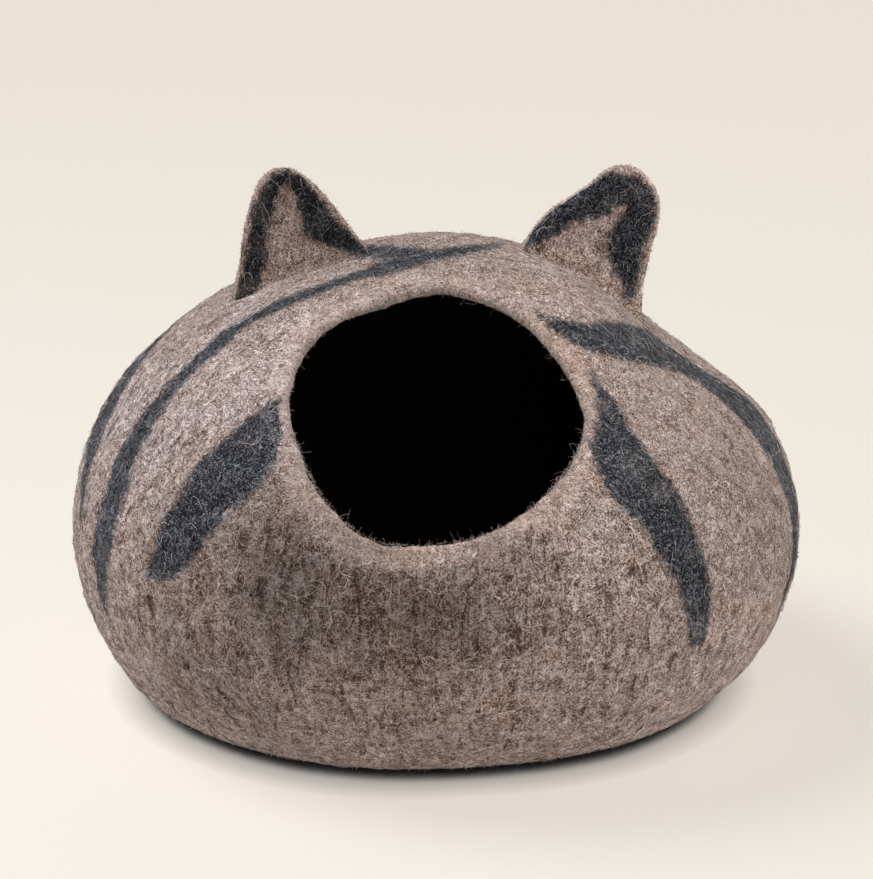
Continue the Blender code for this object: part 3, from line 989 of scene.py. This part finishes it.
# loose wool: lengths and radii in mm; curl is how far a fibre turns, in radians
woolHairs = {
    "seed": 11,
    "lying": {"count": 16000, "points": 5, "length": (3.0, 9.0), "radius": (0.08, 0.15),
              "curl": 2.4, "arch": 0.4, "alongGrain": 0.55, "paler": 1.0},
    "standing": {"count": 17000, "points": 4, "length": (1.0, 2.5), "radius": (0.11, 0.17),
                 "rise": (0.35, 1.0), "lean": (0.25, 0.6), "droop": 0.35, "sunk": 0.2,
                 "paler": 1.1, "onEars": 7.0},
    "loose": {"count": 3000, "points": 10, "length": (8.0, 22.0), "radius": (0.10, 0.165),
              "curl": 3.2, "arch": 0.9, "alongGrain": 0.55, "paler": 1.4},
    "rim": {"count": 380, "points": 13, "length": (2.0, 10.0), "radius": (0.038, 0.06),
            "curl": 6.5, "alongGrain": 0.35, "paler": 1.6},
    "fuzz": {"count": 4200, "points": 4, "length": (0.6, 2.2), "radius": (0.055, 0.09),
             "curl": 1.6, "alongGrain": 0.6, "paler": 2.4},
    "lean": 0.62,
    "wobble": 0.28,
    "archShare": (0.15, 1.0),
    "lift": 0.04,
    # rim fibres turn from the skin into the opening, more where the edge hangs over
    "rimTurn": (0.0, 1.2),
    "rimHang": 0.9,
    "rimHangs": (0.6, -0.3),
    "rimDepth": 6.0,
    "rimReach": 5.7,
    "clearOfFloor": 3.0,
    "aboveFloor": 0.2,
    "mixing": 2.2,
    # name: colour, share on taupe wool, share on dark wool
    "colours": {
        "hairPale": ((0.69, 0.62, 0.60), 0.21, 0.05),
        "hairBeige": ((0.54, 0.45, 0.415), 0.25, 0.02),
        "hairSand": ((0.40, 0.315, 0.28), 0.27, 0.0),
        "hairBrown": ((0.115, 0.072, 0.053), 0.19, 0.0),
        "hairSlate": ((0.20, 0.22, 0.26), 0.05, 0.31),
        "hairCharcoal": ((0.022, 0.023, 0.029), 0.03, 0.60),
    },
}


def spreadOver(points, triangles, weight, count, random):
    facing = facingOf(points, triangles)
    size = np.linalg.norm(facing, axis=1) * weight
    chosen = np.searchsorted(np.cumsum(size) / size.sum(), random.random(count))
    pair = random.random((2, count))
    first, second = np.where(pair.sum(axis=0) > 1, 1 - pair, pair)
    share = np.stack([1 - first - second, first, second], axis=-1)
    places = (points[triangles[chosen]] * share[..., None]).sum(axis=1)
    return chosen, share, places, unit(facing[chosen])


def frameOf(normals):  # two directions along the skin: down the body, and across it
    down = unit(np.array([0.0, 0.0, -1.0]) + normals * normals[:, 2:3] + 1e-6)
    return down, np.cross(normals, down)


def wander(hair, length, down, across, random):
    # flat curved paths: the heading drifts as a fibre goes
    count = len(length)
    steps = hair["points"] - 1
    lean = random.normal(0.0, woolHairs["lean"], count)
    free = random.random(count) * 2 * math.pi
    start = np.where(random.random(count) < hair["alongGrain"], lean, free)
    flip = np.where(random.random(count) < 0.5, 0.0, math.pi)
    turnRate = random.normal(0.0, hair["curl"], count)
    share = (np.arange(steps) + 0.5) / steps
    wobble = random.normal(0.0, woolHairs["wobble"], (count, steps)).cumsum(axis=1)
    angle = (start + flip)[:, None] + turnRate[:, None] * share + wobble
    step = (length / steps)[:, None, None]
    moves = (np.cos(angle)[..., None] * down[:, None] + np.sin(angle)[..., None] * across[:, None])
    path = np.concatenate([np.zeros((count, 1, 3)), (moves * step).cumsum(axis=1)], axis=1)
    return path - path[:, [steps // 2]]


def snapTo(tree, paths, lift):
    made = []
    for point, height in zip(paths.reshape(-1, 3), lift.reshape(-1)):
        place, normal, _, _ = tree.find_nearest(Vector(point))
        made.append(np.array(place) + np.array(normal) * height)
    return np.array(made).reshape(paths.shape)


def spindles(paths, radii):  # closed three-sided fibres, pointed at both ends
    count = len(paths)
    tangent = unit(np.gradient(paths, axis=1))
    side = unit(np.cross(tangent, helperAxis(tangent, 0.8)))
    other = np.cross(tangent, side)
    middles = paths[:, 1:-1]
    rings = []
    for turn in (0.0, 2 * math.pi / 3, 4 * math.pi / 3):
        offset = side[:, 1:-1] * math.cos(turn) + other[:, 1:-1] * math.sin(turn)
        rings.append(middles + offset * radii[:, None, None])
    rings = np.stack(rings, axis=2).reshape(count, -1, 3)
    points = np.concatenate([paths[:, :1], rings, paths[:, -1:]], axis=1)
    tail = points.shape[1] - 4
    faces = []
    for corner in range(3):
        after = (corner + 1) % 3
        faces.append((0, 1 + after, 1 + corner))
        for low in range(1, tail, 3):
            faces.append((low + corner, low + after, low + 3 + after))
            faces.append((low + corner, low + 3 + after, low + 3 + corner))
        faces.append((tail + corner, tail + after, tail + 3))
    corners = np.array(faces)[None] + (np.arange(count) * points.shape[1])[:, None, None]
    return points.reshape(-1, 3), corners.reshape(-1, 3)


def rimPaths(hair, random):
    make = woolHairs
    count = hair["count"]
    places, normals, inward = openingEdge(random.uniform(-math.pi, math.pi, count))
    hangs = smoothStep(*make["rimHangs"], inward[:, 2])
    turn = (random.uniform(*make["rimTurn"], count) + make["rimHang"] * hangs)[:, None]
    facing = normals * np.cos(turn) + inward * np.sin(turn)
    root = places - normals * make["rimDepth"] * mm + facing * make["rimReach"] * mm
    length = random.uniform(*hair["length"], count) * mm
    along = unit(np.cross(facing, random.normal(0.0, 1.0, (count, 3))))
    path = wander(hair, length, facing, along, random)
    path = path - path[:, :1]
    out = (path * facing[:, None]).sum(axis=-1, keepdims=True)
    path = root[:, None] + path + facing[:, None] * (np.abs(out) - out)
    return path, random.uniform(*hair["radius"], count) * mm, np.full(count, farOutside)


def standingPaths(hair, places, normals, length, random):
    count = hair["count"]
    down, across = frameOf(normals)
    forward, spread = hair["lean"]
    lean = unit(down * random.normal(forward, spread, (count, 1))
                + across * random.normal(0.0, spread, (count, 1)))
    rise = random.uniform(*hair["rise"], (count, 1))
    share = np.linspace(0.0, 1.0, hair["points"])[None, :, None]
    reach = length[:, None, None]
    straight = share * reach * (normals * rise + lean * (1.1 - rise))[:, None]
    droop = share ** 2 * lean[:, None] * reach * hair["droop"]
    return places[:, None] + straight + droop - normals[:, None] * hair["sunk"] * mm


def lyingPaths(hair, places, normals, length, tree, random):
    path = wander(hair, length, *frameOf(normals), random)
    arch = np.sin(np.linspace(0.0, math.pi, hair["points"]))
    share = random.uniform(*woolHairs["archShare"], hair["count"]) ** 2
    lift = share[:, None] * arch * hair["arch"] * mm
    return snapTo(tree, places[:, None] + path, lift + woolHairs["lift"] * mm)


def bodyHairs(random):  # paths, radii and depth inside a stripe, kind by kind
    make = woolHairs
    skins = [shell, *earSkins.values()]
    points, triangles = joinMeshes([(skin["points"], skin["triangles"]) for skin in skins])
    inside, depth = [np.concatenate([skin["fields"][name] for skin in skins])
                     for name in ("inside", "stripeReach")]
    tree = BVHTree.FromPolygons(points.tolist(), triangles.tolist())
    clear = points[triangles][..., 2].max(axis=1) > make["clearOfFloor"] * mm
    outside = (1 - inside[triangles].max(axis=1)) * clear
    onEars = np.arange(len(triangles)) >= len(shell["triangles"])
    for kind in ("lying", "loose", "standing"):
        hair = make[kind]
        count = hair["count"]
        weight = outside * np.where(onEars, hair.get("onEars", 1.0), 1.0)
        chosen, share, places, normals = spreadOver(points, triangles, weight, count, random)
        reach = (depth[triangles[chosen]] * share).sum(axis=1)
        length = random.uniform(*hair["length"], count) * mm
        radius = random.uniform(*hair["radius"], count) * mm
        if kind == "standing":
            path = standingPaths(hair, places, normals, length, random)
        else:
            path = lyingPaths(hair, places, normals, length, tree, random)
        yield path, radius, reach, hair["paler"]


def growHairs():
    make = woolHairs
    random = np.random.default_rng(make["seed"])
    families = list(bodyHairs(random))
    for kind in ("rim", "fuzz"):
        families.append((*rimPaths(make[kind], random), make[kind]["paler"]))
    shares = np.cumsum([values[1:] for values in make["colours"].values()], axis=0)
    onTaupe, onDark = (shares / shares[-1]).T
    gathered = {name: [] for name in make["colours"]}
    for path, radius, reach, paler in families:
        path[..., 2] = np.maximum(path[..., 2], make["aboveFloor"] * mm)
        dark = reach + random.normal(0.0, make["mixing"], len(reach)) > 0
        pick = random.random(len(reach)) ** paler
        colour = np.where(dark, np.searchsorted(onDark, pick), np.searchsorted(onTaupe, pick))
        for number, parts in enumerate(gathered.values()):
            parts.append(spindles(path[colour == number], radius[colour == number]))
    for name, parts in gathered.items():
        points, corners = joinMeshes(parts)
        finish = hairFinish(name, make["colours"][name][0])
        piece = putPiece(name, makeMesh(name, points, corners), finish)
        print(name, len(corners))


growHairs()
